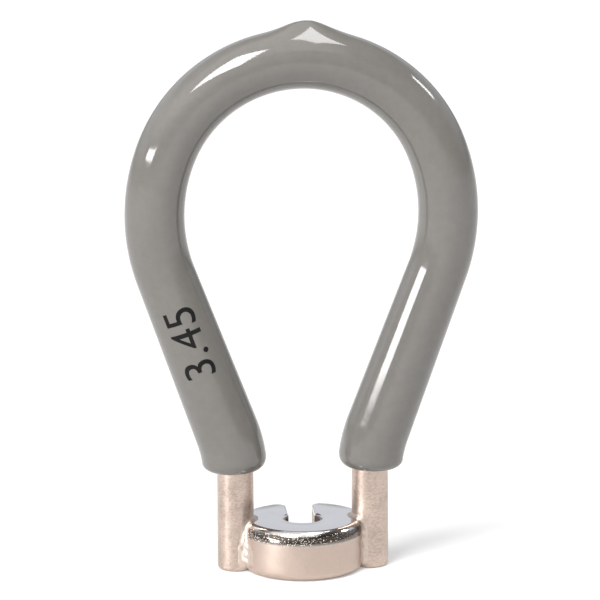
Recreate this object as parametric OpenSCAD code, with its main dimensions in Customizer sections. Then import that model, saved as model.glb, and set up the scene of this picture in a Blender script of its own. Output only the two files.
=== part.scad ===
// Spoke wrench: a slotted steel ring brazed between the two posts of one bent rod,
// whose teardrop loop wears a thick dipped vinyl grip.
// Origin: centre of the ring's lower face, on the spoke axis.
// X runs across the loop, the jaw opens towards +Y, and Z runs up the handle.

/* [Head] */
// Outside diameter of the ring
head_d = 15.88; // [14:0.01:18]
// Height of the ring
head_h = 6.5; // [5:0.05:8]
// Rounding of the ring's upper outside edge
head_top_r = 1.3; // [0.3:0.1:1.4]
// Rounding of the ring's lower outside edge
head_base_r = 1; // [0.2:0.05:1.2]

/* [Jaw] */
// Jaw opening across the nipple's flats
jaw_w = 3.45; // [3.1:0.01:4.5]
// Diameter of the relief hole in each inner corner of the jaw
jaw_relief_d = 0.8; // [0.4:0.1:1.2]
// Diameter of the coned lead-in on each face of the ring
lead_in_d = 4.9; // [4.6:0.1:6]
// Depth of the coned lead-in
lead_in_depth = 1.6; // [0.5:0.1:2.2]
// Rounding of the two jaw tips
jaw_tip_r = 1.1; // [0.3:0.1:1.3]

/* [Rod] */
// Diameter of the rod
rod_d = 4.76; // [4:0.01:5.5]
// Depth that each post sits in the ring's outside
seat_depth = 1.52; // [1.4:0.02:1.8]
// Height of the straight posts, up to the first bend
post_h = 12.5; // [11:0.1:14]
// Rounding of the posts' lower edge
post_end_r = 0.5; // [0.2:0.1:1]
// Centre-line radius of the bend from each post into its leg
post_bend_r = 17; // [12:0.1:22]
// Lean of each leg away from the vertical, in degrees
leg_lean = 20.3; // [17:0.1:24]
// Centre-line radius of the sides of the loop
side_r = 22.95; // [21:0.05:28]
// Centre-line radius of the crown of the loop
crown_r = 18.65; // [16:0.05:20]
// Angle that the crown spans on each side of the top, in degrees
crown_angle = 67; // [50:1:75]

/* [Grip] */
// Outside diameter of the grip round the loop
grip_d = 7.84; // [6.5:0.02:9]
// Outside diameter of the grip at its lower ends
grip_end_d = 8.48; // [7.5:0.02:10]
// Height of the grip's lower ends, on the rod's axis
grip_end_h = 13.3; // [12.5:0.1:16]
// Rounding of the grip's lower ends
grip_end_r = 1.5; // [0.5:0.1:1.7]

/* [Drip nub] */
// Height of the nub above the crown
drip_h = 1.1; // [0.5:0.1:2]
// Half the length of the nub along the crown
drip_reach = 6; // [4:0.1:8]
// Distance of the nub from the middle of the crown
drip_offset = 0.9; // [-3:0.1:3]

/* [Braze] */
// Gap between the rod and its seat in the ring, filled with braze
braze_gap = 0.1; // [0.05:0.01:0.2]
// Radius of the concave fillets between post and ring
braze_fillet_r = 1; // [0.5:0.1:1.5]
// Radius of the concave fillet on the ring's upper face
braze_top_r = 0.7; // [0.3:0.1:1]
// Thickness of the braze at its thin edges
braze_lip = 0.05; // [0.03:0.01:0.1]

/* [Hidden] */
$fn = 120;

// How far straight and crown stretches run into the bends beside them
lap = 0.3;
// How much thinner bends are drawn than the stretches that lap onto them
bend_thinning = 0.02;
// How far the grip's collars stand proud of the leg above them
collar_lip = 0.04;
// Steps in each half of the nub's bell-shaped profile
drip_steps = 12;
// Depth that the nub's ends run in below the crown
drip_sink = 0.15;
// How far cutting tools run past the faces they cut
overcut = 1;

rod_r = rod_d / 2;
head_r = head_d / 2;
post_x = head_r + rod_r - seat_depth;
seat_r = rod_r + braze_gap;

// The loop's path for X > 0, as X and Z: post, bend, leg, side arc and crown.
// The leg is as long as it must be for the crown to close on the Z axis.
leg_start = [post_x + post_bend_r * (1 - cos(leg_lean)), post_h + post_bend_r * sin(leg_lean)];
leg_end_x = side_r * cos(leg_lean) - (side_r - crown_r) * sin(crown_angle);
leg_len = (leg_end_x - leg_start.x) / sin(leg_lean);
leg_end = leg_start + leg_len * [sin(leg_lean), cos(leg_lean)];
bend_centre = [post_x + post_bend_r, post_h];
side_centre = leg_end + side_r * [-cos(leg_lean), sin(leg_lean)];
crown_centre = side_centre + (side_r - crown_r) * [sin(crown_angle), cos(crown_angle)];

// Each lower end of the grip is a short straight collar, which touches the bend halfway up its rounding.
collar_angle = asin((grip_end_h + grip_end_r / 2 - post_h) / post_bend_r);
collar_middle = bend_centre + post_bend_r * [-cos(collar_angle), sin(collar_angle)];
grip_bend_from = asin(max(0, grip_end_h + grip_end_r - post_h) / post_bend_r);

// The circle that rounds a jaw tip touches the jaw wall and the ring's outside.
tip_centre = [jaw_w / 2 + jaw_tip_r, sqrt(pow(head_r - jaw_tip_r, 2) - pow(jaw_w / 2 + jaw_tip_r, 2))];

// The circle that hollows a braze fillet touches the ring and the post from outside.
fillet_x = (pow(head_r + braze_fillet_r, 2) - pow(rod_r + braze_fillet_r, 2) + pow(post_x, 2)) / (2 * post_x);
fillet_centre = [fillet_x, sqrt(pow(head_r + braze_fillet_r, 2) - pow(fillet_x, 2))];
fillet_on_ring = fillet_centre * head_r / (head_r + braze_fillet_r);
post_centre = [post_x, 0];
fillet_on_post = post_centre + (fillet_centre - post_centre) * rod_r / (rod_r + braze_fillet_r);

// The nub is turned about a level axis raised above the crown's centre line.
drip_axis_z = crown_centre.y + crown_r + drip_h;

function crown_top_z(x) = crown_centre.y + sqrt(pow(crown_r + grip_d / 2, 2) - x * x);
function drip_bell(u) = (drip_h + drip_sink) * (1 + cos(180 * u / drip_reach)) / 2 - drip_sink;
function drip_radius(u) = crown_top_z(drip_offset + u) + drip_bell(u) - drip_axis_z;

// Tube along an arc in the XZ plane, from one angle to another about its centre
module arc_tube(centre, path_r, from, to, tube_r) {
  translate([centre.x, 0, centre.y])
    rotate([90, 0, 0])
      rotate([0, 0, from])
        rotate_extrude(angle = to - from)
          translate([path_r, 0])
            circle(tube_r);
}

// Bend from one angle on, leg and side arc for X > 0, tapering along the leg
module half_loop(loop_tube_r, end_tube_r, bend_from) {
  arc_tube(bend_centre, post_bend_r, 180 - leg_lean, 180 - bend_from, end_tube_r - bend_thinning);
  translate([leg_start.x, 0, leg_start.y])
    rotate([0, leg_lean, 0])
      translate([0, 0, -lap])
        cylinder(h = leg_len + 2 * lap, r1 = end_tube_r, r2 = loop_tube_r);
  arc_tube(side_centre, side_r, -leg_lean, 90 - crown_angle, loop_tube_r - bend_thinning);
}

// Whole loop above the posts
module loop_tube(loop_tube_r, end_tube_r, bend_from) {
  half_loop(loop_tube_r, end_tube_r, bend_from);
  mirror([1, 0, 0])
    half_loop(loop_tube_r, end_tube_r, bend_from);
  crown_reach = crown_angle + lap / crown_r * 180 / PI;
  arc_tube(crown_centre, crown_r, 90 - crown_reach, 90 + crown_reach, loop_tube_r);
}

// Round bar standing on z = 0 with its lower edge rounded
module round_ended_bar(bar_r, bar_h, edge_r) {
  rotate_extrude() {
    square([bar_r - edge_r, bar_h]);
    translate([0, edge_r])
      square([bar_r, bar_h - edge_r]);
    translate([bar_r - edge_r, edge_r])
      circle(edge_r);
  }
}

module both_posts() {
  for (side = [-1, 1])
    translate([side * post_x, 0, 0])
      children();
}

module bare_rod() {
  loop_tube(rod_r, rod_r, 0);
  both_posts()
    round_ended_bar(rod_r, post_h + lap, post_end_r);
}

// Rounded lower end of the grip for X > 0, square to the rod
module grip_collar() {
  translate([collar_middle.x, 0, collar_middle.y])
    rotate([0, collar_angle, 0])
      translate([0, 0, -grip_end_r / 2])
        round_ended_bar(grip_end_d / 2 + collar_lip, grip_end_r + lap, grip_end_r);
}

// Solid of revolution that stands proud of the crown as a soft point
module drip_nub() {
  profile = [for (i = [-drip_steps : drip_steps])
    let (u = drip_reach * i / drip_steps) [drip_radius(u), u]];
  translate([drip_offset, 0, drip_axis_z])
    rotate([0, 90, 0])
      rotate_extrude()
        polygon(concat([[0, -drip_reach]], profile, [[0, drip_reach]]));
}

// Disc with rounded outside edges
module ring_blank() {
  rotate_extrude() {
    square([head_r - head_top_r, head_h]);
    square([head_r - head_base_r, head_h - head_top_r]);
    translate([0, head_base_r])
      square([head_r, head_h - head_base_r - head_top_r]);
    translate([head_r - head_base_r, head_base_r])
      circle(head_base_r);
    translate([head_r - head_top_r, head_h - head_top_r])
      circle(head_top_r);
  }
}

// What is cut away beside one jaw tip to leave it round
module tip_rounding() {
  beyond = tip_centre * (head_r + overcut) / (head_r - jaw_tip_r);
  difference() {
    polygon([[0, tip_centre.y], tip_centre, beyond, [0, beyond.y]]);
    translate(tip_centre)
      circle(jaw_tip_r);
  }
}

// Plan of the jaw: a slot square at its closed end, with relieved corners and round tips
module jaw_plan() {
  translate([-jaw_w / 2, -jaw_w / 2])
    square([jaw_w, jaw_w / 2 + head_r + overcut]);
  for (side = [0, 1])
    mirror([side, 0]) {
      translate([jaw_w / 2, -jaw_w / 2])
        circle(d = jaw_relief_d);
      tip_rounding();
    }
}

// Cone that leads a nipple into the jaw, wide end at z = 0 and narrowing upwards
module lead_in() {
  cylinder(h = lead_in_depth, d1 = lead_in_d, d2 = jaw_w);
}

// Plan of the braze beside one post: the film in the seat, with a fillet front and back
module braze_plan() {
  difference() {
    union() {
      intersection() {
        circle(head_r);
        translate(post_centre)
          circle(seat_r);
      }
      for (side = [0, 1])
        mirror([0, side])
          difference() {
            polygon([fillet_on_ring, fillet_centre, fillet_on_post, [post_x - rod_r / 2, 0]]);
            translate(fillet_centre)
              circle(braze_fillet_r - braze_lip);
          }
    }
    translate(post_centre)
      circle(rod_r);
    difference() {
      circle(head_r);
      translate(post_centre)
        circle(seat_r);
    }
  }
}

// Concave collar round a post, standing on the ring's upper face
module braze_top() {
  intersection() {
    translate([post_x, 0, head_h])
      rotate_extrude()
        difference() {
          translate([rod_r, 0])
            square(braze_top_r);
          translate([rod_r + braze_top_r, braze_top_r])
            circle(braze_top_r - braze_lip);
        }
    cylinder(h = head_h + braze_top_r + overcut, r = head_r - head_top_r);
  }
}

// All of the braze beside the post at X > 0
module braze_joint() {
  translate([0, 0, head_base_r])
    linear_extrude(head_h - head_base_r - head_top_r)
      braze_plan();
  translate([0, 0, head_base_r])
    linear_extrude(head_h - head_base_r)
      intersection() {
        circle(head_r - head_top_r);
        translate(post_centre)
          difference() {
            circle(seat_r);
            circle(rod_r);
          }
      }
  braze_top();
}

module wrench_head() {
  color("#cdbfb4")
    difference() {
      ring_blank();
      translate([0, 0, -overcut])
        linear_extrude(head_h + 2 * overcut)
          jaw_plan();
      lead_in();
      translate([0, 0, head_h])
        mirror([0, 0, 1])
          lead_in();
      both_posts()
        translate([0, 0, -overcut])
          cylinder(h = head_h + 2 * overcut, r = seat_r);
    }
}

module handle_rod() {
  color("#c8bcb2")
    bare_rod();
}

module vinyl_grip() {
  color("#8b8985")
    difference() {
      union() {
        loop_tube(grip_d / 2, grip_end_d / 2, grip_bend_from);
        for (side = [0, 1])
          mirror([side, 0, 0])
            grip_collar();
        drip_nub();
      }
      bare_rod();
    }
}

module right_braze() {
  color("#d6cabf")
    braze_joint();
}

module left_braze() {
  color("#d6cabf")
    mirror([1, 0, 0])
      braze_joint();
}

wrench_head();
handle_rod();
vinyl_grip();
left_braze();
right_braze();
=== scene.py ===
"""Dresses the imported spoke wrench: dipped grip, bent rod, slotted ring, braze seams and size number."""

import math

import bmesh
import bpy
from mathutils import Matrix, Vector, noise
from mathutils.bvhtree import BVHTree


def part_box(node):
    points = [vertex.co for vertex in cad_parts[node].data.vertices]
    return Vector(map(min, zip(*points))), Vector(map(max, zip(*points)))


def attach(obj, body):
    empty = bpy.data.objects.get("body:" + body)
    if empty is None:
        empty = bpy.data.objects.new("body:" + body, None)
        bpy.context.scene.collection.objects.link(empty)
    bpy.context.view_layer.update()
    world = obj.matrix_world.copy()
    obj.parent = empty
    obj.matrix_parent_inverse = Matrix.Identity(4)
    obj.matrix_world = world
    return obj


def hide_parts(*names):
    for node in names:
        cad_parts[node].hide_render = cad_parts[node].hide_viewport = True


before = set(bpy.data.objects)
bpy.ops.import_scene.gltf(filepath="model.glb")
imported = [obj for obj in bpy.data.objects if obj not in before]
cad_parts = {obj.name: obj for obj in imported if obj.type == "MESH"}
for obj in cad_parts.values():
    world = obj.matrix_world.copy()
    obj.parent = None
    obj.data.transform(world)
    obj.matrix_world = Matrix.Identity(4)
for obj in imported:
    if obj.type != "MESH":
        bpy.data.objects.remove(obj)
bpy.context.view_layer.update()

bl_info = {
    "name": "Spoke wrench",
    "version": (1, 0, 0),
    "blender": (4, 5, 0),
    "location": "3D View > Sidebar > Spoke wrench",
    "description": "Makes the grip, bent rod, slotted ring, braze seams and size number of a spoke wrench",
    "category": "Object",
}

MM = 0.001
TINY = 0.001 * MM
SIDES = 64
BODY = "root"

# The floor strip lights only the pieces in this collection, which are those with these slots
METAL_PIECES = "metal_pieces"
METAL_SLOTS = ("braze_metal", "plated_ring", "plated_rod")

ROD_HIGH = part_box("handle_rod")[1]
RING_LOW, RING_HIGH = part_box("wrench_head")


# Properties


def length(label, default, note):
    """A size in metres."""
    return bpy.props.FloatProperty(name=label, description=note, default=default, unit="LENGTH", precision=5)


def angle(label, degrees, note):
    """An angle, given in degrees."""
    return bpy.props.FloatProperty(
        name=label, description=note, default=math.radians(degrees), subtype="ANGLE"
    )


def tint(label, default, note):
    """A colour without alpha, in linear values."""
    return bpy.props.FloatVectorProperty(
        name=label, description=note, default=default, size=3, min=0.0, max=1.0, subtype="COLOR"
    )


class LoopSizes(bpy.types.PropertyGroup):
    """Centre line that the rod and the grip follow"""

    rod_radius: length("Rod radius", ROD_HIGH.y, "Half the thickness of the bent rod")
    post_x: length("Post offset", 8.8 * MM, "From the middle of the ring to the middle of a post")
    post_height: length("Post height", 12.5 * MM, "Height at which a post starts to lean outwards")
    post_bend: length("Post bend", 17.0 * MM, "Radius of the bend between a post and its leg")
    leg_lean: angle("Leg lean", 20.3, "Angle between a leg and the vertical")
    side_radius: length("Side radius", 22.95 * MM, "Radius of the loop's flanks")
    crown_radius: length("Crown radius", 18.65 * MM, "Radius of the loop's top")
    crown_angle: angle("Crown angle", 67.0, "Half the angle that the crown's arc spans")
    end_round: length("Post end rounding", 0.5 * MM, "Rounding at the foot of each post")
    step: length("Step", 0.35 * MM, "Distance between sections along the centre line")


class GripLook(bpy.types.PropertyGroup):
    """Vinyl coat dipped over the loop"""

    loop_radius: length("Loop radius", 3.89 * MM, "Outer radius of the coat round the loop")
    end_radius: length("End radius", 4.24 * MM, "Outer radius of the coat at its lower ends")
    end_height: length("End height", 13.3 * MM, "Height of the coat's lower ends, on the rod's axis")
    end_round: length("End rounding", 1.5 * MM, "Rounding of the coat's lower ends")
    nub_height: length("Nub height", 1.1 * MM, "Height of the hardened drip on the crown")
    nub_reach: length("Nub reach", 6.0 * MM, "How far the drip runs out to either side")
    nub_offset: length("Nub offset", 0.9 * MM, "How far the drip sits from the middle of the crown")
    wave_height: length("Wave height", 0.01 * MM, "Depth of the slow waves that dipping leaves")
    wave_size: length("Wave size", 9.0 * MM, "Length of those waves")
    colour: tint("Vinyl", (0.146, 0.139, 0.129), "Colour of the vinyl")


class RingSizes(bpy.types.PropertyGroup):
    """Slotted ring"""

    radius: length("Radius", -RING_LOW.y, "Outer radius of the ring")
    height: length("Height", RING_HIGH.z + 0.17 * MM, "Height of the ring at the crest of its domed top")
    jaw: length("Half jaw", 1.725 * MM, "Half the width of the jaw")
    relief: length("Relief", 0.4 * MM, "Radius of the relief in each inner corner of the jaw")
    mouth: length("Mouth radius", 2.45 * MM, "Radius of the mouth that leads into the jaw")
    mouth_depth: length("Mouth depth", 1.6 * MM, "Depth at which the mouth has narrowed to the jaw")
    tip_round: length("Tip rounding", 1.1 * MM, "Rounding of the jaw's tips, seen from above")
    tip_edge: length("Tip edge", 0.4 * MM, "Rounding of the tips' edges and of the slot's lower edges")
    corner_round: length("Corner rounding", 0.5 * MM, "Rounding where the slot meets the mouth")
    front_width: length("Front edge width", 1.2 * MM, "Width of the worn upper edge at the front")
    front_drop: length("Front edge drop", 1.95 * MM, "Height of the worn upper edge at the front")
    back_edge: length("Back edge", 0.32 * MM, "Rounding of the upper edge at the back")
    lip: length("Lip", 0.42 * MM, "Rounding of the upper edges of the slot and the mouth")
    foot: length("Foot rounding", 1.0 * MM, "Rounding of the lower outer edge")
    dome: length("Dome", 0.17 * MM, "How far the top falls away towards its edges")
    dome_reach: length("Dome reach", 3.2 * MM, "Distance from an edge at which the top starts to fall")
    droop: length("Tip droop", 0.22 * MM, "How far the tips of the jaw fall away towards the back")


class MetalLook(bpy.types.PropertyGroup):
    """Plated rod, ring and braze"""

    nickel: tint("Nickel", (0.50, 0.405, 0.35), "Colour of the satin nickel plating")
    polish: tint("Polished nickel", (0.74, 0.70, 0.67), "Colour of the polished nickel on the ring's top")
    # Darker colour laid between bright flecks along the front of the ring's upper edge
    darkened: tint("Worn edge", (0.17, 0.145, 0.125), "Colour between the flecks of the worn edge")
    bore: tint("Bore", (0.20, 0.155, 0.125), "Colour of the rough metal inside the jaw")
    braze: tint("Braze", (0.57, 0.48, 0.42), "Colour of the plated braze")
    left_seam: length("Left seam", 2.0 * MM, "Reach of the left braze along the post and the ring")
    right_seam: length("Right seam", 0.9 * MM, "Reach of the right braze along the post and the ring")


class NumberLook(bpy.types.PropertyGroup):
    """Printed size number on the left leg"""

    words: bpy.props.StringProperty(name="Number", description="Jaw width in millimetres", default="3.45")
    size: length("Number size", 6.0 * MM, "Size of the numerals")
    place: bpy.props.FloatProperty(
        name="Place", description="Place along the leg", default=0.62, min=0.0, max=1.0, subtype="FACTOR"
    )
    proud: length("Ink height", 0.015 * MM, "How far the ink stands proud of the coat")
    depth: length("Ink depth", 0.05 * MM, "Thickness of the ink, most of it sunk in the coat")
    colour: tint("Ink", (0.006, 0.006, 0.006), "Colour of the ink")


class StageLook(bpy.types.PropertyGroup):
    """Floor, lights and camera"""

    distance: length("Camera distance", 0.7, "From the camera to the point that it looks at")
    elevation: angle("Camera elevation", 13.54, "Height of the camera above the horizon")
    yaw: angle("Camera yaw", -4.73, "Turn of the camera round the wrench")
    roll: angle("Camera roll", -0.224, "Tilt of the camera about its own axis")
    aim_x: length("Aim across", -0.256 * MM, "Point that the camera looks at, across the wrench")
    aim_z: length("Aim height", 35.75 * MM, "Point that the camera looks at, above the floor")
    lens: bpy.props.FloatProperty(name="Lens", description="Focal length in millimetres", default=324.6)
    floor_size: length("Floor size", 8.0, "Side of the square floor")
    floor: tint("Floor", (0.62, 0.615, 0.61), "Colour of the floor")


# Nodes


def add(tree, kind, sockets=None, **options):
    """Adds a node, sets its options and fills its sockets with links or plain values."""
    node = tree.nodes.new(kind)
    for option, value in options.items():
        setattr(node, option, value)
    for key, value in (sockets or {}).items():
        if isinstance(value, bpy.types.NodeSocket):
            tree.links.new(value, node.inputs[key])
        else:
            node.inputs[key].default_value = value
    return node


def calc(tree, operation, *values):
    """One sum on plain values or sockets."""
    return add(tree, "ShaderNodeMath", dict(enumerate(values)), operation=operation).outputs[0]


def remap(tree, value, start, end, low=0.0, high=1.0, kind="LINEAR"):
    """Takes a value from one range to another, held at both ends."""
    sockets = {"Value": value, "From Min": start, "From Max": end, "To Min": low, "To Max": high}
    return add(tree, "ShaderNodeMapRange", sockets, interpolation_type=kind).outputs["Result"]


def blend_colours(tree, mask, first, second):
    """Mixes two colours by a mask."""
    node = add(tree, "ShaderNodeMix", data_type="RGBA")
    for socket, value in zip((node.inputs[0], node.inputs[6], node.inputs[7]), (mask, first, second)):
        if isinstance(value, bpy.types.NodeSocket):
            tree.links.new(value, socket)
        else:
            socket.default_value = value
    return node.outputs[2]


def opaque(colour):
    """A colour with full alpha."""
    return (*colour, 1.0)


def shade(colour, factor):
    """A colour made lighter or darker."""
    return tuple(min(1.0, channel * factor) for channel in colour)


def new_group(name, kind, inputs, outputs):
    """An empty node group with named sockets, its group input and its group output."""
    tree = bpy.data.node_groups.new(name, kind)
    for label, socket in inputs:
        tree.interface.new_socket(label, in_out="INPUT", socket_type="NodeSocket" + socket)
    for label, socket in outputs:
        tree.interface.new_socket(label, in_out="OUTPUT", socket_type="NodeSocket" + socket)
    return tree, tree.nodes.new("NodeGroupInput").outputs, tree.nodes.new("NodeGroupOutput").inputs


def sweep_tree():
    """Sweeps a round section of changing thickness along a path, with a drip, waves and a bore."""
    name = "Swept round bar"
    if name in bpy.data.node_groups:
        return bpy.data.node_groups[name]
    inputs = (
        ("Path", "Geometry"),
        ("Sides", "Int"),
        ("Bore radius", "Float"),
        ("Nub height", "Float"),
        ("Nub reach", "Float"),
        ("Nub offset", "Float"),
        ("Nub level", "Float"),
        ("Wave height", "Float"),
        ("Wave size", "Float"),
        ("Wave seed", "Float"),
        ("Material", "Material"),
    )
    tree, given, result = new_group(name, "GeometryNodeTree", inputs, [("Mesh", "Geometry")])
    line = add(tree, "GeometryNodeMeshToCurve", {"Mesh": given["Path"]}).outputs["Curve"]
    progress = add(tree, "GeometryNodeSplineParameter").outputs["Factor"]
    stored = {"Geometry": line, "Name": "along", "Value": progress}
    line = add(tree, "GeometryNodeStoreNamedAttribute", stored).outputs["Geometry"]
    thickness = add(tree, "GeometryNodeInputNamedAttribute", {"Name": "thickness"}).outputs["Attribute"]
    section = add(tree, "GeometryNodeCurvePrimitiveCircle", {"Resolution": given["Sides"], "Radius": 1.0})
    swept = {"Curve": line, "Profile Curve": section.outputs["Curve"]}
    skin = add(tree, "GeometryNodeCurveToMesh", {**swept, "Scale": thickness}).outputs["Mesh"]
    bore = add(tree, "GeometryNodeCurveToMesh", {**swept, "Scale": given["Bore radius"]}).outputs["Mesh"]

    place = add(tree, "GeometryNodeInputPosition").outputs[0]
    normal = add(tree, "GeometryNodeInputNormal").outputs[0]
    xyz = add(tree, "ShaderNodeSeparateXYZ", {0: place}).outputs
    upward = add(tree, "ShaderNodeSeparateXYZ", {0: normal}).outputs["Z"]
    from_peak = calc(tree, "SUBTRACT", xyz["X"], given["Nub offset"])
    from_peak = calc(tree, "DIVIDE", from_peak, given["Nub reach"])
    within = calc(tree, "MINIMUM", calc(tree, "ABSOLUTE", from_peak), 1.0)
    swing = calc(tree, "COSINE", calc(tree, "MULTIPLY", within, math.pi))
    bell = calc(tree, "MULTIPLY_ADD", swing, 0.5, 0.5)
    nub_foot = math.radians(54)
    nub_crest = math.radians(4)
    from_top = remap(tree, calc(tree, "ARCCOSINE", upward), nub_foot, nub_crest)
    on_top = calc(tree, "POWER", from_top, 2.0)
    on_crown = calc(tree, "GREATER_THAN", xyz["Z"], given["Nub level"])
    rise = calc(tree, "MULTIPLY", given["Nub height"], calc(tree, "MULTIPLY", bell, on_top))
    rise = calc(tree, "MULTIPLY", rise, on_crown)
    lift = add(tree, "ShaderNodeCombineXYZ", {"Z": rise}).outputs[0]

    scale = calc(tree, "DIVIDE", 1.0, given["Wave size"])
    waves = {"Vector": place, "W": given["Wave seed"], "Scale": scale, "Detail": 2.0}
    ripple = add(tree, "ShaderNodeTexNoise", waves, noise_dimensions="4D").outputs["Fac"]
    along = add(tree, "GeometryNodeInputNamedAttribute", {"Name": "along"}).outputs["Attribute"]
    from_end = calc(tree, "MINIMUM", along, calc(tree, "SUBTRACT", 1.0, along))
    calm_share = 0.002
    wavy_share = 0.03
    fade = remap(tree, from_end, calm_share, wavy_share)
    ripple = calc(tree, "MULTIPLY", calc(tree, "MULTIPLY_ADD", ripple, 2.0, -1.0), given["Wave height"])
    swell = calc(tree, "MULTIPLY", ripple, fade)
    wave = add(tree, "ShaderNodeVectorMath", {0: normal, "Scale": swell}, operation="SCALE").outputs[0]
    offset = add(tree, "ShaderNodeVectorMath", {0: lift, 1: wave}, operation="ADD").outputs[0]
    skin = add(tree, "GeometryNodeSetPosition", {"Geometry": skin, "Offset": offset}).outputs["Geometry"]

    lining = add(tree, "GeometryNodeFlipFaces", {"Mesh": bore}).outputs["Mesh"]
    hollow = calc(tree, "GREATER_THAN", given["Bore radius"], 0.0)
    lining = add(tree, "GeometryNodeSwitch", {"Switch": hollow, "True": lining}).outputs["Output"]
    whole = add(tree, "GeometryNodeJoinGeometry", {"Geometry": lining})
    tree.links.new(skin, whole.inputs["Geometry"])
    shut = {"Geometry": whole.outputs["Geometry"], "Distance": TINY}
    shut = add(tree, "GeometryNodeMergeByDistance", shut).outputs["Geometry"]
    smooth = add(tree, "GeometryNodeSetShadeSmooth", {"Geometry": shut}).outputs["Geometry"]
    plain = add(tree, "GeometryNodeRealizeInstances", {"Geometry": smooth}).outputs["Geometry"]
    finish = {"Geometry": plain, "Material": given["Material"]}
    tree.links.new(add(tree, "GeometryNodeSetMaterial", finish).outputs["Geometry"], result["Mesh"])
    return tree


# Meshes


def new_object(name, mesh):
    """An object at the origin that holds a mesh."""
    thing = bpy.data.objects.new(name, mesh)
    bpy.context.scene.collection.objects.link(thing)
    return thing


def settle(thing, name):
    """Turns an object with its modifiers into a plain mesh object of the given name."""
    evaluated = thing.evaluated_get(bpy.context.evaluated_depsgraph_get())
    mesh = bpy.data.meshes.new_from_object(evaluated)
    mesh.name = name
    bpy.data.objects.remove(thing)
    return new_object(name, mesh)


def sweep(name, sections, material, **sizes):
    """Makes a swept piece from sections, each a centre point and the thickness there."""
    path = bpy.data.meshes.new(name + "_path")
    edges = [(i, i + 1) for i in range(len(sections) - 1)]
    path.from_pydata([centre for centre, thickness in sections], edges, [])
    values = path.attributes.new("thickness", "FLOAT", "POINT")
    values.data.foreach_set("value", [thickness for centre, thickness in sections])
    carrier = new_object(name + "_path", path)
    tree = sweep_tree()
    modifier = carrier.modifiers.new("Sweep", "NODES")
    modifier.node_group = tree
    sizes["Material"] = material
    for socket in tree.interface.items_tree:
        if socket.name in sizes:
            modifier[socket.identifier] = sizes[socket.name]
    return settle(carrier, name)


def heading(turn):
    """Unit vector at an angle in a plane."""
    return Vector((math.cos(turn), math.sin(turn)))


def arc(centre, radius, start, end, step):
    """Points along an arc, without its first one."""
    count = max(2, math.ceil(abs(end - start) * radius / step))
    turns = [start + (end - start) * i / count for i in range(1, count + 1)]
    return [centre + radius * heading(turn) for turn in turns]


def straight(start, end, step):
    """Points along a straight stretch, without its first one."""
    count = max(1, math.ceil((end - start).length / step))
    return [start.lerp(end, i / count) for i in range(1, count + 1)]


def loop_marks(loop):
    """Start and end of the right leg, and the centres of the side arc and the crown arc."""
    lean = loop.leg_lean
    shift = loop.side_radius - loop.crown_radius
    start_x = loop.post_x + loop.post_bend * (1 - math.cos(lean))
    end_x = loop.side_radius * math.cos(lean) - shift * math.sin(loop.crown_angle)
    leg_start = Vector((start_x, loop.post_height + loop.post_bend * math.sin(lean)))
    leg_end = Vector((end_x, leg_start.y + (end_x - start_x) / math.tan(lean)))
    side_centre = leg_end + loop.side_radius * Vector((-math.cos(lean), math.sin(lean)))
    crown_centre = side_centre + shift * Vector((math.sin(loop.crown_angle), math.cos(loop.crown_angle)))
    return leg_start, leg_end, side_centre, crown_centre


def on_rod(loop, distance):
    """Point on the right half's centre line, at a distance from the foot on the post or its bend."""
    turn = max(0.0, distance - loop.post_height) / loop.post_bend
    across = loop.post_x + loop.post_bend * (1 - math.cos(turn))
    return Vector((across, min(distance, loop.post_height) + loop.post_bend * math.sin(turn)))


def half_line(loop, low):
    """Centre line of the right half, from a distance along the post or its bend up to the crown's top."""
    leg_start, leg_end, side_centre, crown_centre = loop_marks(loop)
    seam = math.pi / 2 - loop.crown_angle
    high = loop.post_height + loop.post_bend * loop.leg_lean
    count = math.ceil((high - low) / loop.step)
    points = [on_rod(loop, low + (high - low) * i / count) for i in range(count + 1)]
    points += straight(leg_start, leg_end, loop.step)
    points += arc(side_centre, loop.side_radius, -loop.leg_lean, seam, loop.step)
    points += arc(crown_centre, loop.crown_radius, seam, math.pi / 2, loop.step)
    return points


def in_space(point):
    """A point of the loop's plane as a point in space."""
    return Vector((point.x, 0, point.y))


def rounded_end(loop, low, radius, rounding):
    """Sections of a lower end whose rim is rounded, from its face up."""
    turns = 12
    sections = []
    for i in range(turns):
        turn = math.pi / 2 * i / turns
        centre = on_rod(loop, low + rounding * (1 - math.cos(turn)))
        sections.append((in_space(centre), radius - rounding * (1 - math.sin(turn))))
    return sections


def both_halves(right):
    """The right half's sections followed by their mirror image."""
    left = [(Vector((-centre.x, centre.y, centre.z)), thickness) for centre, thickness in right[:-1]]
    return right + left[::-1]


def coat_radius(loop, grip, height):
    """Radius of the coat at a height: even round the loop, and thicker down the legs."""
    leg_start, leg_end, _, _ = loop_marks(loop)
    share = min(1.0, max(0.0, (height - leg_start.y) / (leg_end.y - leg_start.y)))
    return grip.end_radius + (grip.loop_radius - grip.end_radius) * share


def grip_sections(loop, grip):
    """Sections of the coat, from the right end round to the left one."""
    face = on_rod(loop, grip.end_height - TINY)
    right = [(in_space(face), loop.rod_radius)]
    right += rounded_end(loop, grip.end_height, grip.end_radius, grip.end_round)
    for point in half_line(loop, grip.end_height + grip.end_round):
        right.append((in_space(point), coat_radius(loop, grip, point.y)))
    return both_halves(right)


def rod_sections(loop):
    """Sections of the rod, from the right foot round to the left one."""
    right = [(Vector((loop.post_x, 0, 0)), 0.0)]
    right += rounded_end(loop, TINY, loop.rod_radius, loop.end_round)
    for point in half_line(loop, loop.end_round):
        right.append((in_space(point), loop.rod_radius))
    return both_halves(right)


def glide(share):
    """Share from 0 to 1 that starts and ends gently."""
    share = min(1.0, max(0.0, share))
    return share * share * (3 - 2 * share)


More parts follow.
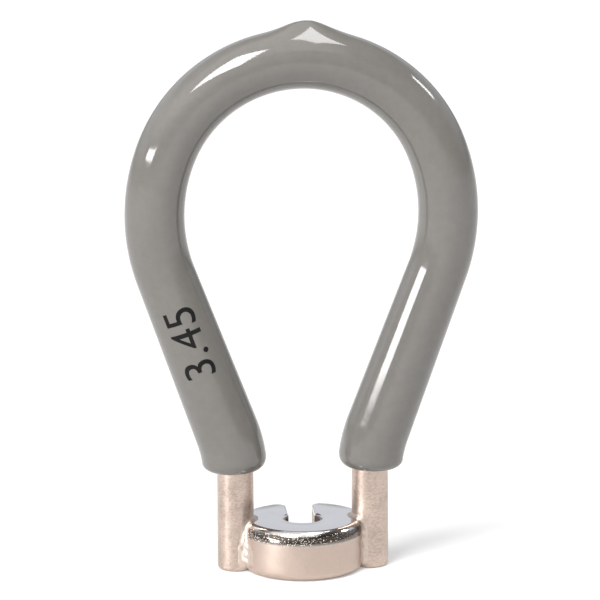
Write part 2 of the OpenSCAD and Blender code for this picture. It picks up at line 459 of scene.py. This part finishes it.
def jaw_wall(ring, top, share):
    """Point on the jaw's straight wall, relieved corner or closed end, from the mouth to the middle."""
    wall_end = 0.45
    corner_end = 0.75
    corner = Vector((ring.jaw, -ring.jaw))
    if share < wall_end:
        return Vector((ring.jaw, top + (corner.y + ring.relief - top) * share / wall_end))
    if share < corner_end:
        turned = (share - wall_end) / (corner_end - wall_end)
        return corner + ring.relief * heading(math.pi / 2 - 1.5 * math.pi * turned)
    return Vector(((ring.jaw - ring.relief) * (1 - share) / (1 - corner_end), -ring.jaw))


def ring_columns(ring):
    """Right half of the ring in plan, from its tip to its front.

    Each column holds the point and outward direction outside, the same inside, the point down in the jaw,
    and how far the column is from the tip, as a share.
    """
    inset = ring.radius - ring.tip_round
    tip_x = ring.jaw + ring.tip_round
    tip = Vector((tip_x, math.sqrt(inset**2 - tip_x**2)))
    tip_end = math.atan2(tip.y, tip.x)
    tip_mid = (tip_end + math.pi) / 2
    reach = ring.mouth + ring.corner_round
    corner_x = ring.jaw + ring.corner_round
    corner = Vector((corner_x, math.sqrt(reach**2 - corner_x**2)))
    corner_turn = math.atan2(corner.y, corner.x)
    side = math.radians(14)
    below = math.radians(8)
    front = -math.pi / 2
    tip_count = 14
    slot_count = 40
    corner_count = 10
    mouth_count = 70
    columns = []

    def column(outer_turn, inner, inward, deep):
        outward = heading(outer_turn)
        columns.append((ring.radius * outward, outward, inner, inward, deep, 1.0))

    for i in range(tip_count):
        outward = heading(tip_mid + (tip_end - tip_mid) * i / tip_count)
        inward = heading(tip_mid + (math.pi - tip_mid) * i / tip_count)
        inner = tip + ring.tip_round * inward
        columns.append((tip + ring.tip_round * outward, outward, inner, inward, inner, glide(i / tip_count)))
    for i in range(slot_count):
        inner = Vector((ring.jaw, tip.y + (corner.y - tip.y) * i / slot_count))
        column(tip_end + (side - tip_end) * i / slot_count, inner, Vector((-1, 0)), inner)
    for i in range(corner_count):
        inward = heading(math.pi + corner_turn * i / corner_count)
        deep = jaw_wall(ring, corner.y, i / (corner_count + mouth_count))
        column(side + (below - side) * i / corner_count, corner + ring.corner_round * inward, inward, deep)
    for i in range(mouth_count + 1):
        inner = heading(corner_turn + (front - corner_turn) * i / mouth_count)
        deep = jaw_wall(ring, corner.y, (corner_count + i) / (corner_count + mouth_count))
        column(below + (front - below) * i / mouth_count, ring.mouth * inner, -inner, deep)
    return columns


def domed(ring, spot):
    """Height of the ring's top at a point in plan: level in the middle, falling towards every edge."""
    from_rim = ring.radius - spot.length
    from_slot = math.hypot(max(0.0, abs(spot.x) - ring.jaw), max(0.0, -spot.y))
    from_hole = min(from_slot, max(0.0, spot.length - ring.mouth))
    soft = 0.8 * MM
    share = min(1.0, max(0.0, 0.5 + 0.5 * (from_hole - from_rim) / soft))
    nearest = from_hole + (from_rim - from_hole) * share - soft * share * (1 - share)
    edge_fall = ring.dome * max(0.0, 1 - nearest / ring.dome_reach) ** 2
    tip_fall = ring.droop * max(0.0, (spot.y - ring.mouth) / (ring.radius - ring.mouth)) ** 2
    return ring.height - edge_fall - tip_fall


def worn_edge(ring, spot, outward, width, drop):
    """Points down a rounded upper edge, from the rim of the top to the start of the wall."""
    start = math.radians(9)
    turns = 16
    fillet = 0.04 * MM
    rim = spot - (width * (1 - math.sin(start)) + fillet) * outward
    level = domed(ring, rim)
    points = [(rim, level)]
    for i in range(turns + 1):
        turn = start + (math.pi / 2 - start) * i / turns
        fall = (math.cos(start) - math.cos(turn)) / math.cos(start)
        height = level + (ring.height - drop - level) * fall
        points.append((spot - width * (1 - math.sin(turn)) * outward, height))
    return points


def lower_edge(spot, outward, rounding):
    """Points round a lower edge, from the wall to the underside."""
    turns = 8
    points = []
    for i in range(turns + 1):
        turn = math.pi / 2 * i / turns
        points.append((spot - rounding * (1 - math.cos(turn)) * outward, rounding * (1 - math.sin(turn))))
    return points


def edge_sizes(ring, turn, from_tip):
    """Width and drop of the ring's upper outer edge at an angle in plan."""
    front_start = math.radians(20)
    front_span = math.radians(55)
    back = ring.tip_edge + (ring.back_edge - ring.tip_edge) * from_tip
    towards_front = glide((front_start - turn) / front_span)
    width = back + (ring.front_width - back) * towards_front
    return width, back + (ring.front_drop - back) * towards_front


def ring_section(ring, column):
    """Points once round the ring's section at a column."""
    outer, outward, inner, inward, deep, from_tip = column
    width, drop = edge_sizes(ring, math.atan2(outer.y, outer.x), from_tip)
    lip = ring.tip_edge + (ring.lip - ring.tip_edge) * from_tip
    foot = ring.tip_edge + (ring.foot - ring.tip_edge) * from_tip
    outside = worn_edge(ring, outer, outward, width, drop)
    inside = worn_edge(ring, inner, inward, lip, lip)
    share = (ring.mouth_depth - ring.tip_edge) / (ring.height - 2 * ring.tip_edge)
    wall_top = ring.height - drop
    for part in (share, 1 - share):
        outside.append((outer, wall_top + (foot - wall_top) * part))
    outside += lower_edge(outer, outward, foot)
    low_lip = lower_edge(inner, inward, ring.tip_edge)
    inside += [(deep, ring.height - ring.mouth_depth), (deep, ring.mouth_depth)] + low_lip
    steps = 12
    across = [inside[0][0].lerp(outside[0][0], i / steps) for i in range(1, steps)]
    under = [outside[-1][0].lerp(inside[-1][0], i / steps) for i in range(1, steps)]
    top = [(spot, domed(ring, spot)) for spot in across]
    return top + outside + [(spot, 0.0) for spot in under] + inside[::-1]


def outside_ring(seat, spot):
    """Distance of a point from the ring's surface, negative inside."""
    near, normal, _, distance = seat.find_nearest(spot)
    return math.copysign(distance, (spot - near).dot(normal))


def on_post(loop, around, height):
    """Point on the right post's surface, by its way round from the side that faces the ring."""
    plan = Vector((loop.post_x, 0)) - loop.rod_radius * heading(around / loop.rod_radius)
    return Vector((plan.x, plan.y, height))


def narrowed(inside, outside, halvings, is_inside):
    """Inner distance of a step across a surface, after a number of halvings."""
    for _ in range(halvings):
        middle = (inside + outside) / 2
        if is_inside(middle):
            inside = middle
        else:
            outside = middle
    return inside


def seam_line(loop, seat):
    """Points where the right post enters the ring, from the front foot over the top to the back foot."""
    count = 140
    halvings = 24
    spread = math.radians(125)
    middle = 2.2 * MM
    far = 6 * MM
    line = []

    def at(turn, reach):
        return on_post(loop, reach * math.sin(turn), middle + reach * math.cos(turn))

    for i in range(count + 1):
        turn = spread * (1 - 2 * i / count)
        reach = narrowed(0.0, far, halvings, lambda tried: outside_ring(seat, at(turn, tried)) < 0)
        line.append(at(turn, reach))
    return line


def outside_seam(loop, seat, spot, reach, lumps):
    """Distance of a point from the soft union of the right post and the ring, negative inside."""
    from_post = math.hypot(spot.x - loop.post_x, spot.y) - loop.rod_radius
    from_ring = outside_ring(seat, spot)
    share = max(0.0, 1 - abs(from_post - from_ring) / reach)
    lump_size = 0.7 * MM
    swell = reach / 4 + lumps * noise.noise(spot / lump_size)
    return min(from_post, from_ring) - share**2 * swell


def seam_end(loop, seat, spot, ray, reach, lumps):
    """Point where a ray from the seam's line leaves the soft union, or the ray's limit inside it."""
    limit = 1.1 * reach
    steps = 14
    halvings = 8

    def is_inside(distance):
        return outside_seam(loop, seat, spot + distance * ray, reach, lumps) < 0

    for i in range(1, steps + 1):
        if not is_inside(limit * i / steps):
            return spot + narrowed(limit * (i - 1) / steps, limit * i / steps, halvings, is_inside) * ray
    return spot + limit * ray


def seam_mesh(loop, seat, side, reach, lumps, name):
    """Closed mesh of a braze seam that blends a post into the ring."""
    line = seam_line(loop, seat)
    last = len(line) - 1
    post = Vector((loop.post_x, 0, 0))
    fans = 30
    first_tilt = math.radians(-8)
    tilt_span = math.radians(138)
    root_depth = 0.4 * MM
    taper_length = 10
    top_reach = 0.65 * MM
    top_start = 0.2
    top_span = 0.2
    shell = bmesh.new()
    rows = []
    for i, spot in enumerate(line):
        run = (line[min(i + 1, last)] - line[max(i - 1, 0)]).normalized()
        away = ((spot - post) * Vector((1, 1, 0))).normalized()
        along = run.cross(away).normalized()
        lift = along.cross(run)
        taper = math.sqrt(min(1.0, (0.5 + min(i, last - i)) / taper_length))
        width = (reach + (top_reach - reach) * glide((i / last - top_start) / top_span)) * taper
        row = []
        for k in range(fans + 1):
            tilt = first_tilt + tilt_span * k / fans
            ray = math.cos(tilt) * along + math.sin(tilt) * lift
            row.append(seam_end(loop, seat, spot, ray, width, lumps * taper))
        row.append(spot - root_depth * (along + lift).normalized())
        rows.append([shell.verts.new(point * Vector((side, 1, 1))) for point in row])
    join_rows(shell, rows)
    shell.faces.new(rows[0])
    shell.faces.new(rows[-1])
    return settled_mesh(shell, name)


def join_rows(shell, rows, way=1):
    """Fills a shell with faces between rows of points, each row a closed round."""
    for near, far in zip(rows, rows[1:]):
        for i in range(len(near)):
            j = (i + 1) % len(near)
            shell.faces.new((near[i], near[j], far[j], far[i])[::way])


def settled_mesh(shell, name):
    """Smooth mesh with sharp corners from a merged shell, faces outwards."""
    too_close = 0.0005 * MM
    bmesh.ops.remove_doubles(shell, verts=shell.verts, dist=too_close)
    bmesh.ops.dissolve_degenerate(shell, edges=shell.edges, dist=too_close)
    bmesh.ops.recalc_face_normals(shell, faces=shell.faces)
    mesh = bpy.data.meshes.new(name)
    shell.to_mesh(mesh)
    shell.free()
    mesh.shade_smooth()
    mesh.set_sharp_from_angle(angle=math.radians(50))
    return mesh


def ring_mesh(ring, name):
    """Closed mesh of the slotted ring."""
    sections = [ring_section(ring, column) for column in ring_columns(ring)]
    shell = bmesh.new()
    for side in (1, -1):
        rows = [[shell.verts.new((side * spot.x, spot.y, z)) for spot, z in section] for section in sections]
        join_rows(shell, rows, side)
    return settled_mesh(shell, name)


def finish_piece(piece, slot, *nodes):
    """Says what a piece rides on, groups it with the metal pieces when its finish is one of theirs, and hides
    the CAD nodes it stands for.
    """
    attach(piece, BODY)
    if slot in METAL_SLOTS:
        bpy.data.collections[METAL_PIECES].objects.link(piece)
    if nodes:
        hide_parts(*nodes)


# Materials


def grain_group():
    """Fine grain over a surface: a height for bump and a tone for colour and gloss."""
    name = "Fine grain"
    if name in bpy.data.node_groups:
        return bpy.data.node_groups[name]
    inputs = (("Grains per metre", "Float"), ("Stretch", "Vector"))
    outputs = (("Height", "Float"), ("Tone", "Float"))
    tree, given, result = new_group(name, "ShaderNodeTree", inputs, outputs)
    place = add(tree, "ShaderNodeTexCoord").outputs["Object"]
    stretched = {0: place, 1: given["Stretch"]}
    place = add(tree, "ShaderNodeVectorMath", stretched, operation="MULTIPLY").outputs[0]
    fine = {"Vector": place, "Scale": given["Grains per metre"], "Detail": 3.0, "Roughness": 0.6}
    fine = add(tree, "ShaderNodeTexNoise", fine).outputs["Fac"]
    slowness = 0.11
    slow_scale = calc(tree, "MULTIPLY", given["Grains per metre"], slowness)
    slow = add(tree, "ShaderNodeTexNoise", {"Vector": place, "Scale": slow_scale}).outputs["Fac"]
    tree.links.new(fine, result["Height"])
    mixed = calc(tree, "MULTIPLY_ADD", fine, 0.6, calc(tree, "MULTIPLY", slow, 0.4))
    tree.links.new(remap(tree, mixed, 0.35, 0.65), result["Tone"])
    return tree


def new_material(name, **constants):
    """A material with its Principled shader, whose plain values are set here."""
    material = bpy.data.materials.new(name)
    material.use_nodes = True
    shader = material.node_tree.nodes["Principled BSDF"]
    for socket, value in constants.items():
        shader.inputs[socket.replace("_", " ")].default_value = value
    return material, material.node_tree, shader


def grain(tree, per_metre, stretch=(1.0, 1.0, 1.0)):
    """Outputs of the grain group at a given fineness."""
    node = add(tree, "ShaderNodeGroup", node_tree=grain_group())
    node.inputs["Grains per metre"].default_value = per_metre
    node.inputs["Stretch"].default_value = stretch
    return node.outputs


def emboss(tree, shader, height, strength, depth):
    """Feeds a height to the shader's normal."""
    bump = add(tree, "ShaderNodeBump", {"Height": height, "Strength": strength, "Distance": depth})
    tree.links.new(bump.outputs["Normal"], shader.inputs["Normal"])


def varied(tree, tone, colour, darkest, lightest):
    """A colour that follows a tone from a darker to a lighter shade."""
    return blend_colours(tree, tone, opaque(shade(colour, darkest)), opaque(shade(colour, lightest)))


def coat(tree, shader, tone, colour, shades, roughness):
    """Lets a tone vary the shader's colour and roughness, each between two values."""
    tree.links.new(varied(tree, tone, colour, *shades), shader.inputs["Base Color"])
    tree.links.new(remap(tree, tone, 0.0, 1.0, *roughness), shader.inputs["Roughness"])


def vinyl_material(grip):
    """Glossy dipped vinyl with a faint mottle and a slight orange peel."""
    material, tree, shader = new_material("dipped_vinyl", IOR=1.53)
    mottle = grain(tree, 900.0)
    coat(tree, shader, mottle["Tone"], grip.colour, (0.95, 1.05), (0.06, 0.10))
    emboss(tree, shader, mottle["Height"], 0.05, 0.02 * MM)
    return material


def rod_material(metal):
    """Blasted and plated rod with a fine sparkle that runs round it."""
    material, tree, shader = new_material("plated_rod", Metallic=1.0)
    blasted = grain(tree, 4400.0, (0.6, 0.6, 1.0))
    coat(tree, shader, blasted["Tone"], metal.nickel, (0.76, 1.24), (0.32, 0.42))
    emboss(tree, shader, blasted["Height"], 0.6, 0.03 * MM)
    return material


def ring_material(ring, metal):
    """Satin plating on the ring's wall, polish on its top, a darker band with bright flecks down the front of
    its upper edge, dark rough bore.
    """
    material, tree, shader = new_material("plated_ring", Metallic=1.0)
    satin = grain(tree, 5000.0)
    place = add(tree, "ShaderNodeTexCoord").outputs["Object"]
    spot = add(tree, "ShaderNodeSeparateXYZ", {0: place}).outputs
    square_y = calc(tree, "MULTIPLY", spot["Y"], spot["Y"])
    from_axis = calc(tree, "SQRT", calc(tree, "MULTIPLY_ADD", spot["X"], spot["X"], square_y))
    depth = calc(tree, "SUBTRACT", ring.height, spot["Z"])

    # Masks, each between two depths below the crest, two radii or two places from back to front
    in_front = remap(tree, spot["Y"], 1.0 * MM, -3.0 * MM)
    front_depth = 1.2 * MM
    past_edge = calc(tree, "MULTIPLY_ADD", in_front, -front_depth, depth)
    polished = remap(tree, past_edge, 0.9 * MM, 0.4 * MM, kind="SMOOTHSTEP")
    near_rim = remap(tree, from_axis, ring.radius - 0.75 * MM, ring.radius - 0.5 * MM)
    low_edge = calc(tree, "MULTIPLY", remap(tree, depth, 0.52 * MM, 0.68 * MM), in_front)
    # Mask of the darker band: near the rim, at the front, more than about 0.6 mm below the crest and within
    # the polish
    darkened = calc(tree, "MULTIPLY", near_rim, calc(tree, "MULTIPLY", polished, low_edge))
    near_mouth = remap(tree, from_axis, ring.mouth + 0.5 * MM, ring.mouth + 0.2 * MM)
    bore = calc(tree, "MULTIPLY", near_mouth, remap(tree, depth, 0.3 * MM, 0.6 * MM))

    wall = varied(tree, satin["Tone"], metal.nickel, 0.94, 1.06)
    colour = blend_colours(tree, polished, wall, opaque(metal.polish))
    matt = remap(tree, satin["Tone"], 0.0, 1.0, 0.36, 0.46)
    gloss = calc(tree, "MULTIPLY_ADD", polished, -0.3, matt)
    tree.links.new(calc(tree, "MULTIPLY_ADD", bore, 0.35, gloss), shader.inputs["Roughness"])

    # Flecks stand closer together towards the left
    crowding = -3.0
    flecks = calc(tree, "MULTIPLY_ADD", spot["X"], crowding, satin["Height"])
    bright = remap(tree, flecks, 0.58, 0.68)
    # The darker band's colour shows everywhere in its mask except on the bright flecks
    dull = calc(tree, "MULTIPLY", darkened, calc(tree, "SUBTRACT", 1.0, bright))
    rough = calc(tree, "MULTIPLY", bright, calc(tree, "MULTIPLY_ADD", bore, 2.0, darkened))
    satin_depth = calc(tree, "MULTIPLY_ADD", polished, -0.2, 0.25)
    relief = calc(tree, "MULTIPLY_ADD", satin["Height"], satin_depth, rough)
    emboss(tree, shader, relief, 1.0, 0.03 * MM)
    colour = blend_colours(tree, dull, colour, opaque(metal.darkened))
    colour = blend_colours(tree, bore, colour, opaque(metal.bore))
    tree.links.new(colour, shader.inputs["Base Color"])
    return material


def braze_material(metal):
    """Plated braze, paler than the rod and coarser in grain."""
    material, tree, shader = new_material("plated_braze", Metallic=1.0)
    lumps = grain(tree, 3200.0)
    coat(tree, shader, lumps["Tone"], metal.braze, (0.88, 1.12), (0.4, 0.5))
    emboss(tree, shader, lumps["Height"], 0.5, 0.03 * MM)
    return material


def ink_material(number):
    """Dull black printing ink."""
    material, tree, shader = new_material("black_ink", Specular_IOR_Level=0.1)
    dots = grain(tree, 6000.0)
    coat(tree, shader, dots["Tone"], number.colour, (1.0, 2.5), (0.4, 0.55))
    return material


def floor_material(stage):
    """Pale studio floor that glows a little, so that shadows on it stay faint."""
    constants = {"Roughness": 0.9, "Emission_Strength": 0.45, "Specular_IOR_Level": 0.1}
    material, tree, shader = new_material("studio_floor", **constants)
    paper = grain(tree, 40.0)
    colour = varied(tree, paper["Tone"], stage.floor, 0.985, 1.0)
    tree.links.new(colour, shader.inputs["Base Color"])
    tree.links.new(colour, shader.inputs["Emission Color"])
    return material


# Operators


def towards(turn, rise):
    """Unit vector at an angle round the wrench, from its front, and an angle above the floor."""
    level = math.cos(rise)
    return Vector((math.sin(turn) * level, -math.cos(turn) * level, math.sin(rise)))


def looking_back(away, roll):
    """Rotation of a lamp or camera that looks back along a direction, tilted about its own axis."""
    level = (-away).to_track_quat("-Z", "Y").to_matrix()
    return (level @ Matrix.Rotation(roll, 3, "Z")).to_euler()


class WRENCH_OT_stage(bpy.types.Operator):
    """Make the floor, the lights and the camera"""

    bl_idname = "wrench.stage"
    bl_label = "Make the stage"

    def execute(self, context):
        stage = context.scene.wrench_stage
        self.make_floor(stage)
        self.make_room(context.scene)
        self.make_lights()
        self.make_camera(context.scene, stage)
        context.scene.view_settings.view_transform = "Standard"
        return {"FINISHED"}

    def make_floor(self, stage):
        """One large pale sheet under the wrench."""
        half = stage.floor_size / 2
        mesh = bpy.data.meshes.new("floor")
        corners = [(-half, -half, 0), (half, -half, 0), (half, half, 0), (-half, half, 0)]
        mesh.from_pydata(corners, [], [(0, 1, 2, 3)])
        mesh.materials.append(floor_material(stage))
        new_object("floor", mesh)

    def make_room(self, scene):
        """Cool backdrop, pale wall at the left, dim front with a paler lower part, and white ceiling."""
        backdrop_middle = (0.76, 0.80, 0.88, 1.0)
        backdrop_top = (0.14, 0.14, 0.15, 1.0)
        backdrop_foot = (0.36, 0.36, 0.36, 1.0)
        wall_foot = (0.3, 0.29, 0.28, 1.0)
        wall_top = (1.2, 1.18, 1.14, 1.0)
        front_top = (0.06, 0.055, 0.05, 1.0)
        front_foot = (0.4, 0.39, 0.38, 1.0)
        ceiling = (1.15, 1.15, 1.15, 1.0)
        world = bpy.data.worlds.new("room")
        world.use_nodes = True
        scene.world = world
        tree = world.node_tree
        way = add(tree, "ShaderNodeTexCoord").outputs["Generated"]
        axes = add(tree, "ShaderNodeSeparateXYZ", {0: way}).outputs
        behind = remap(tree, axes["Y"], -0.3, 0.3, kind="SMOOTHSTEP")
        left = remap(tree, axes["X"], 0.2, -0.8, kind="SMOOTHSTEP")
        centre = remap(tree, axes["X"], 0.45, 0.2, kind="SMOOTHSTEP")
        rise = calc(tree, "MULTIPLY_ADD", behind, -0.24, axes["Z"])
        above = calc(tree, "MULTIPLY", remap(tree, rise, 0.56, 0.70, kind="SMOOTHSTEP"), centre)
        high = remap(tree, axes["Z"], 0.42, 0.6, kind="SMOOTHSTEP")
        horizon = remap(tree, axes["Z"], 0.19, 0.03)
        backdrop = blend_colours(tree, high, backdrop_middle, backdrop_top)
        backdrop = blend_colours(tree, horizon, backdrop, backdrop_foot)
        up_wall = remap(tree, axes["Z"], 0.15, 0.4, kind="SMOOTHSTEP")
        wall = blend_colours(tree, up_wall, wall_foot, wall_top)
        down_front = remap(tree, axes["Z"], 0.65, 0.45, kind="SMOOTHSTEP")
        front = blend_colours(tree, down_front, front_top, front_foot)
        sides = blend_colours(tree, left, front, wall)
        colour = blend_colours(tree, behind, sides, backdrop)
        colour = blend_colours(tree, above, colour, ceiling)
        tree.links.new(colour, tree.nodes["Background"].inputs["Color"])

    def make_lights(self):
        """Softboxes at the left front, overhead and at the right, and two strips low down at the left."""
        self.add_softbox("left_softbox", -37, 53, 0.95, (0.37, 0.68), 18.0, upright=True)
        self.add_softbox("low_strip", -63, 8.25, 0.8, (0.4, 0.055), 20.0, roll=-8.3)
        self.add_softbox("top_softbox", 50, 76, 0.8, (0.28, 0.24), 9.0)
        self.add_softbox("right_softbox", 99, 32, 0.8, (0.13, 0.16), 13.0)
        floor_strip = self.add_softbox("floor_strip", -60, -1, 0.8, (0.22, 0.07), 38.0)
        floor_strip.light_linking.receiver_collection = bpy.data.collections.new(METAL_PIECES)

    def add_softbox(self, name, turn, rise, distance, size, radiance, roll=0.0, upright=False):
        """Lamp at angles in degrees round the wrench and above the floor, facing it or upright."""
        aim = Vector((0, 0, 0.05))
        away = towards(math.radians(turn), math.radians(rise))
        light = bpy.data.lights.new(name, "AREA")
        light.shape = "RECTANGLE"
        light.size, light.size_y = size
        light.energy = radiance * math.pi * size[0] * size[1]
        lamp = bpy.data.objects.new(name, light)
        lamp.location = aim + distance * away
        if upright:
            away.z = 0.0
        lamp.rotation_euler = looking_back(away, math.radians(roll))
        bpy.context.scene.collection.objects.link(lamp)
        return lamp

    def make_camera(self, scene, stage):
        """Camera at the height and turn of a product picture."""
        back = towards(stage.yaw, stage.elevation)
        data = bpy.data.cameras.new("camera")
        data.lens = stage.lens
        data.sensor_width = 36.0
        camera = bpy.data.objects.new("camera", data)
        camera.location = Vector((stage.aim_x, 0, stage.aim_z)) + stage.distance * back
        camera.rotation_euler = looking_back(back, stage.roll)
        scene.collection.objects.link(camera)
        scene.camera = camera


class WRENCH_OT_grip(bpy.types.Operator):
    """Make the dipped vinyl coat"""

    bl_idname = "wrench.grip"
    bl_label = "Make the grip"

    def execute(self, context):
        loop = context.scene.wrench_loop
        grip = context.scene.wrench_grip
        crown_centre = loop_marks(loop)[3]
        sizes = {
            "Sides": SIDES,
            "Bore radius": loop.rod_radius,
            "Nub height": grip.nub_height,
            "Nub reach": grip.nub_reach,
            "Nub offset": grip.nub_offset,
            "Nub level": crown_centre.y + loop.crown_radius,
            "Wave height": grip.wave_height,
            "Wave size": grip.wave_size,
            "Wave seed": 3.0,
        }
        piece = sweep("grip_coat", grip_sections(loop, grip), vinyl_material(grip), **sizes)
        finish_piece(piece, "dipped_vinyl", "vinyl_grip")
        return {"FINISHED"}


class WRENCH_OT_rod(bpy.types.Operator):
    """Make the bent rod"""

    bl_idname = "wrench.rod"
    bl_label = "Make the rod"

    def execute(self, context):
        loop = context.scene.wrench_loop
        # The rod has no drip and no waves; their lengths only keep the tree from dividing by zero
        sizes = {"Sides": SIDES, "Nub reach": 1.0, "Wave size": 1.0}
        piece = sweep("bent_rod", rod_sections(loop), rod_material(context.scene.wrench_metal), **sizes)
        finish_piece(piece, "plated_rod", "handle_rod")
        return {"FINISHED"}


class WRENCH_OT_ring(bpy.types.Operator):
    """Make the slotted ring"""

    bl_idname = "wrench.ring"
    bl_label = "Make the ring"

    def execute(self, context):
        metal = context.scene.wrench_metal
        ring = context.scene.wrench_ring
        piece = new_object("slotted_ring", ring_mesh(ring, "slotted_ring"))
        piece.data.materials.append(ring_material(ring, metal))
        finish_piece(piece, "plated_ring", "wrench_head")
        return {"FINISHED"}


class WRENCH_OT_braze(bpy.types.Operator):
    """Make the two braze seams"""

    bl_idname = "wrench.braze"
    bl_label = "Make the braze"

    def execute(self, context):
        loop = context.scene.wrench_loop
        metal = context.scene.wrench_metal
        material = braze_material(metal)
        ring = bpy.data.objects["slotted_ring"].data
        corners = [vertex.co for vertex in ring.vertices]
        seat = BVHTree.FromPolygons(corners, [tuple(face.vertices) for face in ring.polygons])
        seams = (
            ("left_seam", "left_braze", -1, metal.left_seam, 0.14 * MM),
            ("right_seam", "right_braze", 1, metal.right_seam, 0.1 * MM),
        )
        for name, node, side, reach, lumps in seams:
            piece = new_object(name, seam_mesh(loop, seat, side, reach, lumps, name))
            piece.data.materials.append(material)
            finish_piece(piece, "braze_metal", node)
        return {"FINISHED"}


class WRENCH_OT_number(bpy.types.Operator):
    """Print the size number on the left leg"""

    bl_idname = "wrench.number"
    bl_label = "Print the size number"

    def execute(self, context):
        loop = context.scene.wrench_loop
        grip = context.scene.wrench_grip
        number = context.scene.wrench_number
        piece = self.flat_numerals(number)
        self.wrap(piece.data, loop, grip, number)
        piece.data.materials.append(ink_material(number))
        skin = piece.modifiers.new("Ink", "SOLIDIFY")
        skin.thickness = number.depth
        skin.offset = -1.0
        piece = settle(piece, "size_number")
        finish_piece(piece, "dipped_vinyl")
        return {"FINISHED"}

    def flat_numerals(self, number):
        """Numerals as a flat mesh, cut into strips narrow enough to bend."""
        words = bpy.data.curves.new("size_number", "FONT")
        words.body = number.words
        words.size = number.size
        words.align_x = "CENTER"
        words.align_y = "CENTER"
        words.resolution_u = 6
        flat = settle(new_object("numerals", words), "numerals")
        shell = bmesh.new()
        shell.from_mesh(flat.data)
        half = number.size
        strip = 0.2 * MM
        for i in range(math.ceil(2 * half / strip)):
            parts = shell.verts[:] + shell.edges[:] + shell.faces[:]
            spot = Vector((0, -half + i * strip, 0))
            bmesh.ops.bisect_plane(shell, geom=parts, plane_co=spot, plane_no=Vector((0, 1, 0)))
        shell.to_mesh(flat.data)
        shell.free()
        return flat

    def wrap(self, mesh, loop, grip, number):
        """Bends the flat numerals round the left leg, reading upwards."""
        leg_start, leg_end, _, _ = loop_marks(loop)
        middle = leg_start.lerp(leg_end, number.place)
        run = (leg_end - leg_start).normalized()
        along = Vector((-run.x, 0, run.y))
        inward = Vector((run.y, 0, run.x))
        for vertex in mesh.vertices:
            radius = coat_radius(loop, grip, middle.y + run.y * vertex.co.x) + number.proud
            turn = -vertex.co.y / radius
            round_leg = radius * (math.sin(turn) * inward + math.cos(turn) * Vector((0, -1, 0)))
            vertex.co = Vector((-middle.x, 0, middle.y)) + vertex.co.x * along + round_leg


class WRENCH_PT_panel(bpy.types.Panel):
    """Sizes and makers of the spoke wrench"""

    bl_idname = "WRENCH_PT_panel"
    bl_label = "Spoke wrench"
    bl_space_type = "VIEW_3D"
    bl_region_type = "UI"
    bl_category = "Spoke wrench"

    def draw(self, context):
        for group, operator in PANEL_ROWS:
            box = self.layout.box()
            settings = getattr(context.scene, group)
            for label in settings.__annotations__:
                box.prop(settings, label)
            box.operator(operator.bl_idname)


GROUPS = {
    "wrench_stage": StageLook,
    "wrench_loop": LoopSizes,
    "wrench_grip": GripLook,
    "wrench_ring": RingSizes,
    "wrench_metal": MetalLook,
    "wrench_number": NumberLook,
}

PANEL_ROWS = (
    ("wrench_stage", WRENCH_OT_stage),
    ("wrench_loop", WRENCH_OT_rod),
    ("wrench_grip", WRENCH_OT_grip),
    ("wrench_ring", WRENCH_OT_ring),
    ("wrench_metal", WRENCH_OT_braze),
    ("wrench_number", WRENCH_OT_number),
)

CLASSES = (
    *GROUPS.values(),
    WRENCH_OT_stage,
    WRENCH_OT_grip,
    WRENCH_OT_rod,
    WRENCH_OT_ring,
    WRENCH_OT_braze,
    WRENCH_OT_number,
    WRENCH_PT_panel,
)


def register():
    for item in CLASSES:
        bpy.utils.register_class(item)
    for name, group in GROUPS.items():
        setattr(bpy.types.Scene, name, bpy.props.PointerProperty(type=group))


def unregister():
    for name in GROUPS:
        delattr(bpy.types.Scene, name)
    for item in reversed(CLASSES):
        bpy.utils.unregister_class(item)


def main():
    register()
    bpy.ops.wrench.stage()
    bpy.ops.wrench.grip()
    bpy.ops.wrench.rod()
    bpy.ops.wrench.ring()
    bpy.ops.wrench.braze()
    bpy.ops.wrench.number()


if __name__ == "__main__":
    main()
